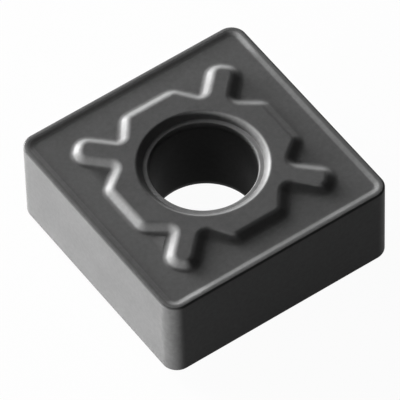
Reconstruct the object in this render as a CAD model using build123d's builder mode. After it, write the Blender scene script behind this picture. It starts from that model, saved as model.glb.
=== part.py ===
import os
from math import sqrt

from build123d import *

# A square indexable cutting insert: one piece of sintered carbide, pressed with the same chip
# breaker on both faces.  Sizes are in millimetres.  The origin is on the axis of the bore, in
# the plane of the lower seat face, and +Z runs up the bore.

# Body
inscribed_circle = 12.7  # from flank to opposite flank
thickness = 4.76  # from one cutting rim to the other
corner_radius = 0.8
edge_hone = 0.05  # bevel of the cutting edge itself

# Chip groove, from the cutting edge inwards
land_width = 0.27  # flat strip behind the edge
rake_width = 0.24  # slope from the land down to the floor
groove_depth = 0.08  # floor below the rim
foot_corner_ratio = 0.55  # corner radius at the foot of the slope against the one at its head

# Bore and its mouth, each width measured outwards from the one before
bore_diameter = 5.16
lip_width = 0.06  # steep cone that leads into the bore
lip_depth = 0.29
step_width = 0.23  # flat step around the lip
sink_width = 0.31  # countersink around the step
sink_depth = 0.27  # from the plateau down to the step

# Raised plateau, measured along its crest, with a finger towards each corner
seat_rise = 0.2  # plateau above the rim
side_setback = 2.094  # from the flank in to the straight side of the plateau
side_length = 2.473  # straight side, from shoulder to shoulder
shoulder_radius = 0.23
valley_wall = 0.447  # from the bore's mouth to the bottom of the valley beside a finger
finger_width = 0.71
finger_setback = 3.195  # from the body's sharp corner in to the finger's tip
tip_radius = 0.25

# Wall around the plateau, sloping out and down to the floor
wall_width = 0.6  # in plan, from crest to foot
valley_foot_radius = 0.21  # inside corner of each valley, along the foot
crest_round = 0.2
foot_round = 0.2

half_side = inscribed_circle / 2
land_corner = corner_radius - land_width
foot_corner = foot_corner_ratio * land_corner
bore_radius = bore_diameter / 2
lip_radius = bore_radius + lip_width
step_radius = lip_radius + step_width
mouth_radius = step_radius + sink_width

# Levels above the middle of the body, the same on both sides of it
rim_level = thickness / 2
floor_level = rim_level - groove_depth
seat_level = rim_level + seat_rise
step_level = seat_level - sink_depth

# Directions along and across the diagonal on which a finger lies
along = Vector(1, 1) / sqrt(2)
across = Vector(-1, 1) / sqrt(2)


def crossing(first, second):
    """The point where two lines cross, each given as its unit normal and its offset."""
    (normal, offset), (other_normal, other_offset) = first, second
    turn = normal.X * other_normal.Y - normal.Y * other_normal.X
    return Vector(
        (offset * other_normal.Y - other_offset * normal.Y) / turn,
        (other_offset * normal.X - offset * other_normal.X) / turn,
    )


def plateau_outline(spread):
    """Corners and corner radii of the plateau's outline, at a plan distance outside its crest."""
    side_end = Vector(side_length / 2, half_side - side_setback)
    valley = along * (mouth_radius + valley_wall) + across * (finger_width / 2)
    shoulder = (valley - side_end).normalized()
    shoulder_normal = Vector(-shoulder.Y, shoulder.X)
    tip_distance = sqrt(2) * half_side - finger_setback
    lines = [
        (Vector(0, 1), side_end.Y + spread),
        (shoulder_normal, shoulder_normal.dot(side_end) + spread),
        (across, finger_width / 2 + spread),
        (along, tip_distance + spread),
    ]
    corners = [crossing(first, second) for first, second in zip(lines, lines[1:])]
    radii = [
        shoulder_radius + spread,
        valley_foot_radius + wall_width - spread,
        tip_radius + spread,
    ]
    quarter = corners + [Vector(corner.Y, corner.X) for corner in reversed(corners)]
    quarter_turns = (0, -90, -180, -270)
    outline = [corner.rotate(Axis.Z, turn) for turn in quarter_turns for corner in quarter]
    return outline, (radii + radii[::-1]) * len(quarter_turns)


def flat_at(plane):
    """The insert's level face that lies in a plane."""
    level_faces = insert.faces().filter_by(Plane.XY)
    return level_faces.sort_by(lambda face: abs(face.center().Z - plane.origin.Z))[0]


# The middle of the body, facing up and facing down
middle_up = Plane.XY.offset(seat_level)
middle_down = Plane(middle_up.origin, z_dir=-middle_up.z_dir)

with BuildPart() as insert:
    # Square body
    with BuildSketch(middle_up):
        RectangleRounded(inscribed_circle, inscribed_circle, corner_radius)
    extrude(amount=rim_level, both=True)

    for middle in (middle_up, middle_down):
        # Chip groove: a slope all round, from the land down to a flat floor
        head = (rim_level, half_side - land_width, land_corner)
        foot = (floor_level, half_side - land_width - rake_width, foot_corner)
        for level, half_width, corner in (head, foot):
            with BuildSketch(middle.offset(level)):
                RectangleRounded(2 * half_width, 2 * half_width, corner)
        loft(ruled=True, mode=Mode.SUBTRACT)

        # Plateau, from the foot of its wall up to its crest
        for level, spread in ((floor_level, wall_width), (seat_level, 0)):
            with BuildSketch(middle.offset(level)):
                with BuildLine():
                    corners, radii = plateau_outline(spread)
                    FilletPolyline(*corners, radius=radii, close=True)
                make_face()
        loft(ruled=True)

        # Rounded crest and foot of that wall, and the honed edge
        fillet(flat_at(middle.offset(seat_level)).edges(), crest_round)
        fillet(flat_at(middle.offset(floor_level)).inner_wires().edges(), foot_round)
        chamfer(flat_at(middle.offset(rim_level)).outer_wire().edges(), edge_hone)

        # Countersink above the step, and the lip below it
        with Locations(middle.offset(step_level)):
            upward = (Align.CENTER, Align.CENTER, Align.MIN)
            downward = (Align.CENTER, Align.CENTER, Align.MAX)
            Cone(step_radius, mouth_radius, sink_depth, align=upward, mode=Mode.SUBTRACT)
            Cone(bore_radius, lip_radius, lip_depth, align=downward, mode=Mode.SUBTRACT)

    # Bore
    with Locations(middle_up):
        Hole(bore_radius)

insert.part.label = "insert"
os.makedirs("parts", exist_ok=True)
export_step(insert.part, "parts/insert.step")
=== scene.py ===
import math

import bmesh
import bpy
from mathutils import Matrix, Vector


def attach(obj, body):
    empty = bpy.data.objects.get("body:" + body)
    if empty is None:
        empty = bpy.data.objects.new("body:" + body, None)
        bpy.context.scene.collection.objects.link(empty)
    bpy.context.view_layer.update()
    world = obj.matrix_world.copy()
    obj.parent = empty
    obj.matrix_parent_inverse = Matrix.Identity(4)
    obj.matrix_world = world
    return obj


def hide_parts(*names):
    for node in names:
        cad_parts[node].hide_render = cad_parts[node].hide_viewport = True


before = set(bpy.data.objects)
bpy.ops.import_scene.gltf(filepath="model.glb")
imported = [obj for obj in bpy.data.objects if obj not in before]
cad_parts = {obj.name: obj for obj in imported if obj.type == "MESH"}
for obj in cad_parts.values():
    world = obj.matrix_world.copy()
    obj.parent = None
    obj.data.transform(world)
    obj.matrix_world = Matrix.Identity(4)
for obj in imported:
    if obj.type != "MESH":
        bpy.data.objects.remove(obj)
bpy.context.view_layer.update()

# A square cutting insert, pressed alike on both faces. Sizes are in millimetres, and widths are
# measured in plan. Levels are heights above the middle of its thickness.
MM = 0.001

# Body
HALF_SIDE = 6.35
CORNER_RADIUS = 0.8
RIM_LEVEL = 2.38
SEAT_RISE = 0.2
GROOVE_DEPTH = 0.08
SEAT_LEVEL = RIM_LEVEL + SEAT_RISE
FLOOR_LEVEL = RIM_LEVEL - GROOVE_DEPTH

# Cutting edge and chip groove, from the flank inwards
EDGE_HONE = 0.1  # rounding of the cutting edge
LAND_WIDTH = 0.27
RAKE_WIDTH = 0.24
RAKE_ROUND = 0.08
RAKE_FOOT = LAND_WIDTH + RAKE_WIDTH

# Bore and its mouth, from the bore outwards
BORE_RADIUS = 2.58
LIP_WIDTH = 0.06
LIP_DEPTH = 0.29
STEP_WIDTH = 0.23
SINK_WIDTH = 0.31
SINK_DEPTH = 0.27
LIP_RADIUS = BORE_RADIUS + LIP_WIDTH
STEP_RADIUS = LIP_RADIUS + STEP_WIDTH
MOUTH_RADIUS = STEP_RADIUS + SINK_WIDTH
STEP_LEVEL = SEAT_LEVEL - SINK_DEPTH
LIP_LEVEL = STEP_LEVEL - LIP_DEPTH
BORE_ROUND = 0.06
LIP_ROUND = 0.05
STEP_ROUND = 0.04
MOUTH_ROUND = 0.06
MOUTH_STRIP = 0.12  # level strip of the seat around the mouth
BORE_STRIP = 0.15  # straight strip of the bore below the lip

# Plateau, with a finger on each diagonal. The points are the crest's corners in one eighth of it.
SHOULDER = (1.2365, 4.256)
VALLEY = (2.3139, 2.8159)
FINGER_CORNER = (3.8404, 4.3425)
SHOULDER_RADIUS = 0.23
VALLEY_RADIUS = 0.65
TIP_RADIUS = 0.25
WALL_OFFSET = 0.3  # from the crest out to the middle of the wall
WALL_WIDTH = 0.42
WALL_ROUND = 0.14

# Mesh
HOLD = 0.04  # narrow strip that keeps a flat face flat beside a rounding
MERGE_DISTANCE = 0.0005
ROUND_STEPS = 6
CORNER_STEPS = 10
PLATEAU_STEPS = 8
BORE_STEPS = 16
EIGHTH_TURN = math.pi / 4


# ---------------------------------------------------------------- shape

def section(mesh, stops):
    """A chain of edges in the plane x = 0. Each stop is a distance from the axis, a level and the
    run of its rounding."""
    points = [mesh.verts.new((0, distance, level)) for distance, level, _ in stops]
    for point, following in zip(points, points[1:]):
        mesh.edges.new((point, following))
    for point, (_, _, run) in zip(points, stops):
        if run:
            bmesh.ops.bevel(mesh, geom=[point], offset=run, offset_type="OFFSET", segments=ROUND_STEPS,
                            profile=0.5, affect="VERTICES", material=-1)
    return list(mesh.verts) + list(mesh.edges)


def draw_straight(mesh, chain, direction, length):
    """Draws the section along a straight run."""
    edges = [part for part in chain if isinstance(part, bmesh.types.BMEdge)]
    grown = bmesh.ops.extrude_edge_only(mesh, edges=edges)["geom"]
    chain = [part for part in grown if not isinstance(part, bmesh.types.BMFace)]
    ends = [part for part in chain if isinstance(part, bmesh.types.BMVert)]
    bmesh.ops.translate(mesh, verts=ends, vec=direction * length)
    return chain


def draw_round(mesh, chain, centre, angle, steps):
    """Draws the section round an upright axis."""
    spun = bmesh.ops.spin(mesh, geom=chain, cent=centre, axis=(0, 0, 1), angle=angle, steps=steps,
                          use_merge=False, use_duplicate=False)
    return spun["geom_last"]


def draw_outline(mesh, chain, corners, radii, end):
    """Draws the section from x = 0 round each corner and on to the end, as a tool traces an outline."""
    here = Vector((0, corners[0].y, 0))
    for corner, following, radius in zip(corners, corners[1:] + [end], radii):
        inward = (corner - here).normalized()
        outward = (following - corner).normalized()
        angle = math.atan2(inward.cross(outward).z, inward.dot(outward))
        run = radius * math.tan(abs(angle) / 2)
        length = (corner - here).length - run
        for part in (HOLD, length - 2 * HOLD, HOLD):
            chain = draw_straight(mesh, chain, inward, part)
        side = Vector((-inward.y, inward.x, 0)) * math.copysign(radius, angle)
        chain = draw_round(mesh, chain, corner - inward * run + side, angle, PLATEAU_STEPS)
        here = corner + outward * run
    draw_straight(mesh, chain, (end - here).normalized(), (end - here).length)


def rim_band():
    """Floor, rake, land, honed edge and flank."""
    mesh = bmesh.new()
    chain = section(mesh, [
        (HALF_SIDE - RAKE_FOOT - RAKE_ROUND - HOLD, FLOOR_LEVEL, 0),
        (HALF_SIDE - RAKE_FOOT, FLOOR_LEVEL, RAKE_ROUND),
        (HALF_SIDE - LAND_WIDTH, RIM_LEVEL, RAKE_ROUND),
        (HALF_SIDE, RIM_LEVEL, EDGE_HONE),
        (HALF_SIDE, RIM_LEVEL - EDGE_HONE - HOLD, 0),
        (HALF_SIDE, 0, 0),
    ])
    arc = HALF_SIDE - CORNER_RADIUS
    for length in (arc - HOLD, HOLD):
        chain = draw_straight(mesh, chain, Vector((1, 0, 0)), length)
    draw_round(mesh, chain, (arc, arc, 0), -EIGHTH_TURN, CORNER_STEPS)
    return mesh


def plateau_band():
    """The plateau's crest and the wall down to the floor."""
    mesh = bmesh.new()
    middle = SHOULDER[1] + WALL_OFFSET
    chain = section(mesh, [
        (middle - WALL_WIDTH / 2 - WALL_ROUND - HOLD, SEAT_LEVEL, 0),
        (middle - WALL_WIDTH / 2, SEAT_LEVEL, WALL_ROUND),
        (middle + WALL_WIDTH / 2, FLOOR_LEVEL, WALL_ROUND),
        (middle + WALL_WIDTH / 2 + WALL_ROUND + HOLD, FLOOR_LEVEL, 0),
    ])
    corners = [Vector((*point, 0)) for point in (SHOULDER, VALLEY, FINGER_CORNER)]
    radii = [SHOULDER_RADIUS, VALLEY_RADIUS, TIP_RADIUS]
    tip = sum(FINGER_CORNER) / 2
    draw_outline(mesh, chain, corners, radii, Vector((tip, tip, 0)))
    return mesh


def bore_band():
    """Countersink, step, lip and bore wall."""
    mesh = bmesh.new()
    chain = section(mesh, [
        (MOUTH_RADIUS + MOUTH_STRIP, SEAT_LEVEL, 0),
        (MOUTH_RADIUS, SEAT_LEVEL, MOUTH_ROUND),
        (STEP_RADIUS, STEP_LEVEL, STEP_ROUND),
        (LIP_RADIUS, STEP_LEVEL, LIP_ROUND),
        (BORE_RADIUS, LIP_LEVEL, BORE_ROUND),
        (BORE_RADIUS, LIP_LEVEL - BORE_STRIP, 0),
        (BORE_RADIUS, 0, 0),
    ])
    draw_round(mesh, chain, (0, 0, 0), -EIGHTH_TURN, BORE_STEPS)
    return mesh


def add_band(mesh, band):
    """Puts a finished band into the body's mesh."""
    carried = bpy.data.meshes.new("band")
    band.to_mesh(carried)
    band.free()
    mesh.from_mesh(carried)
    bpy.data.meshes.remove(carried)


def mirror_across(mesh, axis):
    """Adds the mirror image on the other side of a middle plane of the body."""
    bmesh.ops.mirror(mesh, geom=list(mesh.verts) + list(mesh.edges) + list(mesh.faces),
                     matrix=Matrix.Identity(4), merge_dist=MERGE_DISTANCE, axis=axis)


def turn_body(mesh, angle):
    """Turns everything about the bore's axis."""
    bmesh.ops.rotate(mesh, cent=(0, 0, 0), matrix=Matrix.Rotation(angle, 3, "Z"), verts=mesh.verts)


def fill_level(mesh, level):
    """Closes the flat between the two open outlines at a level."""
    outline = [edge for edge in mesh.edges if edge.is_boundary
               and all(abs(vert.co.z - level) < MERGE_DISTANCE for vert in edge.verts)]
    bmesh.ops.triangle_fill(mesh, use_beauty=True, use_dissolve=False, edges=outline, normal=(0, 0, 1))


def shown(mesh, name):
    """Makes a finished mesh an object of the scene."""
    data = bpy.data.meshes.new(name)
    mesh.to_mesh(data)
    mesh.free()
    piece = bpy.data.objects.new(name, data)
    bpy.context.scene.collection.objects.link(piece)
    return piece


def pressed_insert():
    """The whole insert. The bands are one eighth of a face, and mirrors make the rest."""
    mesh = bmesh.new()
    for band in (rim_band(), plateau_band(), bore_band()):
        add_band(mesh, band)
    turn_body(mesh, EIGHTH_TURN)
    mirror_across(mesh, "X")
    turn_body(mesh, -EIGHTH_TURN)
    mirror_across(mesh, "X")
    mirror_across(mesh, "Y")
    bmesh.ops.remove_doubles(mesh, verts=mesh.verts, dist=MERGE_DISTANCE)
    fill_level(mesh, SEAT_LEVEL)
    fill_level(mesh, FLOOR_LEVEL)
    mirror_across(mesh, "Z")
    bmesh.ops.remove_doubles(mesh, verts=mesh.verts, dist=MERGE_DISTANCE)
    bmesh.ops.recalc_face_normals(mesh, faces=mesh.faces)
    bmesh.ops.translate(mesh, verts=mesh.verts, vec=(0, 0, SEAT_LEVEL))
    bmesh.ops.scale(mesh, verts=mesh.verts, vec=(MM, MM, MM))
    for face in mesh.faces:
        face.smooth = True
    return shown(mesh, "pressed_insert")


# ---------------------------------------------------------------- shader sums

class Value:
    """A shader socket on which sums are written as in Python."""

    def __init__(self, finish, socket):
        self.finish = finish
        self.socket = socket

    def maths(self, operation, *terms):
        inputs = dict(enumerate(terms))
        return self.finish.node("ShaderNodeMath", {"operation": operation}, inputs)["Value"]

    def __add__(self, other):
        return self.maths("ADD", self, other)

    def __radd__(self, other):
        return self.maths("ADD", other, self)

    def __sub__(self, other):
        return self.maths("SUBTRACT", self, other)

    def __rsub__(self, other):
        return self.maths("SUBTRACT", other, self)

    def __mul__(self, other):
        return self.maths("MULTIPLY", self, other)

    def __rmul__(self, other):
        return self.maths("MULTIPLY", other, self)

    def __truediv__(self, other):
        return self.maths("DIVIDE", self, other)

    def __pow__(self, other):
        return self.maths("POWER", self, other)

    def __abs__(self):
        return self.maths("ABSOLUTE", self)

    def highest(self, other):
        return self.maths("MAXIMUM", self, other)

    def lowest(self, other):
        return self.maths("MINIMUM", self, other)


class Node:
    """A node whose outputs are read by name or identifier."""

    def __init__(self, finish, node):
        self.finish = finish
        self.node = node

    def __getitem__(self, name):
        return Value(self.finish, found(self.node.outputs, name))


def found(sockets, name):
    """The socket with a number, an identifier or a name."""
    if isinstance(name, int):
        return sockets[name]
    return next(socket for socket in sockets if name in (socket.identifier, socket.name))


class Finish:
    """The nodes of a material or of the world. All are added by one method."""

    def __init__(self, owner):
        owner.use_nodes = True
        self.tree = owner.node_tree
        self.tree.nodes.clear()

    def node(self, kind, settings=None, inputs=None):
        """Adds a node, with its settings first and then the values or links of its sockets."""
        made = self.tree.nodes.new(kind)
        for name, setting in (settings or {}).items():
            setattr(made, name, setting)
        for name, source in (inputs or {}).items():
            socket = found(made.inputs, name)
            if isinstance(source, Value):
                self.tree.links.new(source.socket, socket)
            else:
                socket.default_value = source
        return Node(self, made)

    def mix(self, share, first, second):
        """The first colour, with a share of the second."""
        inputs = {"Factor_Float": share, "A_Color": first, "B_Color": second}
        return self.node("ShaderNodeMix", {"data_type": "RGBA"}, inputs)["Result_Color"]

    def noise(self, place, size, detail):
        """Cloudiness around an even level, of a typical size in millimetres."""
        inputs = {"Vector": place, "Scale": 1 / (size * MM), "Detail": detail, "Roughness": NOISE_ROUGHNESS}
        return self.node("ShaderNodeTexNoise", {}, inputs)["Fac"]

    def background_rays(self):
        """1 for rays that show the background, seen straight, in a reflection or through glass."""
        ray = self.node("ShaderNodeLightPath")
        return ray["Is Camera Ray"].highest(ray["Is Glossy Ray"]).highest(ray["Is Transmission Ray"])


def within(value, start, full):
    """A share that grows from 0 to 1 as a value goes from start to full."""
    return ((value - start) / (full - start)).highest(0.0).lowest(1.0)


def grey(level):
    return (level, level, level, 1)


# ---------------------------------------------------------------- coat, painted shade and painted highlights

# Darkest and palest grey of the coat on the faces, and of the painted shade, painted highlights and painted
# light laid over it on the other parts
FACE_GREYS = (0.068, 0.096)
# Painted shade: the seat is darker than the faces to offset the extra light it catches from the low lamps
SEAT_PAINTED_SHADE_GREYS = (0.058, 0.082)
# Painted shade: the flanks are darker than the faces so the flank away from the lamps stays dark
FLANK_PAINTED_SHADE_GREYS = (0.038, 0.058)
# Painted shade: the bore is nearly black, for the shade inside the hole
BORE_PAINTED_SHADE_GREYS = (0.008, 0.016)
# Painted highlight: the plateau walls are paler than the faces to lift their highlights
WALL_PAINTED_HIGHLIGHT_GREYS = (0.074, 0.102)
# Painted highlight: the rake slopes are paler, for the bright lines along the cutting edges
RAKE_PAINTED_HIGHLIGHT_GREYS = (0.1, 0.14)
# Painted light: the step is paler to lift it out of the shade of the mouth's edge
STEP_PAINTED_LIGHT_GREYS = (0.13, 0.18)
# Painted shade: a dark line along the honed edge
HONE_PAINTED_SHADE_GREYS = (0.03, 0.03)

# Size and detail of each noise, and its share in the shade, the roughness and the bump
GRAIN = (0.05, 2.0)
SPECKLE = (0.22, 3.0)
PATCHES = (1.6, 3.0)
NOISE_ROUGHNESS = 0.55
EVEN = 0.5  # middle level of a noise and of the shade
SHADE_CONTRAST = 2.4
GRAIN_SHADE = 0.2
SPECKLE_SHADE = 0.5
PATCH_SHADE = 0.3
GRAIN_ROUGHNESS = 0.16
PATCH_ROUGHNESS = 0.14
GRAIN_BUMP = 0.6
SPECKLE_BUMP = 0.8
BUMP_HEIGHT = 0.006
BUMP_STRENGTH = 0.3

# Gloss
COATING_IOR = 1.13
ROUGHNESS = 0.44
SEAT_POLISH = 0.03
HONE_POLISH = 0.08
FLANK_DULLNESS = 0.06
BORE_DULLNESS = 0.12

# How far from its border a finish starts, and how far it is full
HONE_BLEND = 0.03
HONE_WOBBLE = 0.04
RAKE_BLEND = 0.03
MOUTH_BLEND = 0.02
FLANK_BLEND = (0.02, 0.005)  # in from the flank
LEVEL_BLEND = (0.03, 0.01)  # below the seat, and above the step
WALL_FOOT_BLEND = (0.03, 0.08)  # above the floor
WALL_CREST_BLEND = (0.01, 0.05)  # below the seat
WALL_CLEAR_BLEND = (0.05, 0.1)  # in from the foot of the rake


def coated_carbide():
    """Matt dark coat with a fine grain and cloudy patches. Over it lie painted shade on the seat, the
    flanks and the honed edge and darkest in the bore, painted highlights on the walls and rake slopes, and
    painted light on the step."""
    material = bpy.data.materials.new("coated_carbide")
    finish = Finish(material)
    place = finish.node("ShaderNodeTexCoord")["Object"]
    axes = finish.node("ShaderNodeSeparateXYZ", {}, {"Vector": place})
    across = abs(axes["X"] / MM)
    along = abs(axes["Y"] / MM)
    level = abs(axes["Z"] / MM - SEAT_LEVEL)
    radius = (across * across + along * along) ** 0.5
    grain = finish.noise(place, *GRAIN)
    speckle = finish.noise(place, *SPECKLE)
    patches = finish.noise(place, *PATCHES)

    # How far a point lies in from the flank, which runs round the corner arcs
    arc = HALF_SIDE - CORNER_RADIUS
    past_x = (across - arc).highest(0.0)
    past_y = (along - arc).highest(0.0)
    inset = CORNER_RADIUS - (past_x * past_x + past_y * past_y) ** 0.5

    wobble = (speckle - EVEN) * HONE_WOBBLE
    hone = (within(inset + wobble, EDGE_HONE, EDGE_HONE - HONE_BLEND)
            * within(RIM_LEVEL - level + wobble, EDGE_HONE, EDGE_HONE - HONE_BLEND))
    flank = within(inset, *FLANK_BLEND) * (1 - hone)
    rake = (within(inset, LAND_WIDTH - RAKE_BLEND, LAND_WIDTH + RAKE_BLEND)
            * within(inset, RAKE_FOOT + RAKE_BLEND, RAKE_FOOT - RAKE_BLEND))
    seat = within(SEAT_LEVEL - level, *LEVEL_BLEND)
    wall = (within(level - FLOOR_LEVEL, *WALL_FOOT_BLEND)
            * within(SEAT_LEVEL - level, *WALL_CREST_BLEND)
            * within(inset - RAKE_FOOT, *WALL_CLEAR_BLEND))
    bore = within(radius, LIP_RADIUS + MOUTH_BLEND, BORE_RADIUS)
    step = (within(level - STEP_LEVEL, *LEVEL_BLEND)
            * within(radius, STEP_RADIUS + MOUTH_BLEND, STEP_RADIUS) * (1 - bore))

    cloud = speckle * SPECKLE_SHADE + patches * PATCH_SHADE + grain * GRAIN_SHADE
    shade = (cloud - EVEN) * SHADE_CONTRAST + EVEN
    dark, pale = FACE_GREYS
    coat_and_painted_light = finish.mix(shade, grey(dark), grey(pale))
    # Each part below lays painted shade, painted highlights or painted light over the coat on the faces;
    # its mask also sets the roughness
    for share, (dark, pale) in (
        (seat, SEAT_PAINTED_SHADE_GREYS),
        (flank, FLANK_PAINTED_SHADE_GREYS),
        (bore, BORE_PAINTED_SHADE_GREYS),
        (wall, WALL_PAINTED_HIGHLIGHT_GREYS),
        (rake, RAKE_PAINTED_HIGHLIGHT_GREYS),
        (step, STEP_PAINTED_LIGHT_GREYS),
        (hone, HONE_PAINTED_SHADE_GREYS),
    ):
        coat_and_painted_light = finish.mix(share, coat_and_painted_light, finish.mix(shade, grey(dark), grey(pale)))

    roughness = (ROUGHNESS + (grain - EVEN) * GRAIN_ROUGHNESS + (patches - EVEN) * PATCH_ROUGHNESS
                 - seat * SEAT_POLISH - hone * HONE_POLISH + flank * FLANK_DULLNESS + bore * BORE_DULLNESS)
    bump = finish.node("ShaderNodeBump", {}, {
        "Strength": BUMP_STRENGTH,
        "Distance": BUMP_HEIGHT * MM,
        "Height": grain * GRAIN_BUMP + speckle * SPECKLE_BUMP,
    })["Normal"]
    shell = finish.node("ShaderNodeBsdfPrincipled", {}, {
        "Base Color": coat_and_painted_light,
        "Roughness": roughness,
        "IOR": COATING_IOR,
        "Normal": bump,
    })["BSDF"]
    finish.node("ShaderNodeOutputMaterial", {}, {"Surface": shell})
    return material


# ---------------------------------------------------------------- stage, light and camera

FLOOR_SIZE = 4.0
FLOOR_GREY = 0.5
FLOOR_WHITE = 0.96  # share of the floor's look that is plain white, and the rest keeps the shadow
FLOOR_GAP = 0.02 * MM  # keeps the floor clear of the seat that rests on it

VIEW_AZIMUTH = math.radians(33.87)
VIEW_ELEVATION = math.radians(51.48)
VIEW_ROLL = math.radians(1.75)
VIEW_DISTANCE = 0.3063
LOOK_AT = Vector((0, 0, SEAT_LEVEL * MM))
SENSOR_WIDTH = 36
LENS = 581
SHIFT_X = -0.0112
SHIFT_Y = -0.0079

LAMP_DISTANCE = 0.3


def floor():
    """A plain pale floor, white where it is seen, that lights the insert as grey card would."""
    mesh = bmesh.new()
    bmesh.ops.create_grid(mesh, x_segments=1, y_segments=1, size=FLOOR_SIZE)
    bmesh.ops.translate(mesh, verts=mesh.verts, vec=(0, 0, -FLOOR_GAP))
    plane = shown(mesh, "studio_floor")
    material = bpy.data.materials.new("studio_floor")
    finish = Finish(material)
    card = finish.node("ShaderNodeBsdfDiffuse", {}, {"Color": grey(FLOOR_GREY)})["BSDF"]
    white = finish.node("ShaderNodeEmission", {}, {"Color": grey(1), "Strength": 1.0})["Emission"]
    share = finish.background_rays() * FLOOR_WHITE
    surface = finish.node("ShaderNodeMixShader", {}, {"Fac": share, 1: card, 2: white})["Shader"]
    finish.node("ShaderNodeOutputMaterial", {}, {"Surface": surface})
    plane.data.materials.append(material)


def softbox(name, azimuth, elevation, width, height, level):
    """A soft rectangular lamp that lights a white card facing it to the given level. Its azimuth
    runs from the right of the picture towards the back."""
    turned = math.radians(azimuth) - VIEW_AZIMUTH
    raised = math.radians(elevation)
    level_part = Vector((math.cos(turned), math.sin(turned), 0))
    towards = level_part * math.cos(raised) + Vector((0, 0, math.sin(raised)))
    data = bpy.data.lights.new(name, "AREA")
    data.shape = "RECTANGLE"
    data.size = width
    data.size_y = height
    data.energy = level * (math.pi * LAMP_DISTANCE) ** 2
    lamp = bpy.data.objects.new(name, data)
    lamp.location = LOOK_AT + towards * LAMP_DISTANCE
    lamp.rotation_euler = towards.to_track_quat("Z", "Y").to_euler()
    lamp.visible_camera = False
    bpy.context.scene.collection.objects.link(lamp)


def studio_light():
    """Low strips along the back and left, softened by a few larger lamps above them."""
    softbox("back_strip", azimuth=137, elevation=1.5, width=0.13, height=0.012, level=2.3)
    softbox("back_left_strip", azimuth=140, elevation=4, width=0.11, height=0.04, level=2.0)
    softbox("left_strip", azimuth=160, elevation=4, width=0.11, height=0.04, level=1.45)
    softbox("back_softbox", azimuth=133, elevation=14, width=0.13, height=0.06, level=1.75)
    softbox("high_softbox", azimuth=133, elevation=28, width=0.2, height=0.09, level=0.75)
    softbox("front_left_strip", azimuth=205, elevation=1.5, width=0.11, height=0.012, level=4.8)
    softbox("front_fill", azimuth=235, elevation=25, width=0.16, height=0.09, level=0.1)
    softbox("right_strip", azimuth=80, elevation=1.5, width=0.11, height=0.012, level=0.33)


def white_surroundings():
    """A world that is white where it is seen and gives no light."""
    world = bpy.data.worlds.new("studio")
    finish = Finish(world)
    inputs = {"Color": grey(1), "Strength": finish.background_rays()}
    background = finish.node("ShaderNodeBackground", {}, inputs)["Background"]
    finish.node("ShaderNodeOutputWorld", {}, {"Surface": background})
    bpy.context.scene.world = world


def camera():
    """A long lens above the front corner, rolled a little, that looks at the middle of the insert."""
    away = Vector((math.sin(VIEW_AZIMUTH), math.cos(VIEW_AZIMUTH), 0))
    across = Vector((math.cos(VIEW_AZIMUTH), -math.sin(VIEW_AZIMUTH), 0))
    forward = away * math.cos(VIEW_ELEVATION) - Vector((0, 0, math.sin(VIEW_ELEVATION)))
    upward = away * math.sin(VIEW_ELEVATION) + Vector((0, 0, math.cos(VIEW_ELEVATION)))
    right = across * math.cos(VIEW_ROLL) - upward * math.sin(VIEW_ROLL)
    top = across * math.sin(VIEW_ROLL) + upward * math.cos(VIEW_ROLL)
    data = bpy.data.cameras.new("studio_camera")
    data.sensor_width = SENSOR_WIDTH
    data.lens = LENS
    data.shift_x = SHIFT_X
    data.shift_y = SHIFT_Y
    eye = bpy.data.objects.new("studio_camera", data)
    place = Matrix((right, top, -forward)).transposed().to_4x4()
    place.translation = LOOK_AT - forward * VIEW_DISTANCE
    eye.matrix_world = place
    bpy.context.scene.collection.objects.link(eye)
    bpy.context.scene.camera = eye


# ---------------------------------------------------------------- scene

insert = pressed_insert()
insert.data.materials.append(coated_carbide())
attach(insert, "root")
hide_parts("insert")

floor()
studio_light()
white_surroundings()
camera()
bpy.context.scene.view_settings.view_transform = "Standard"
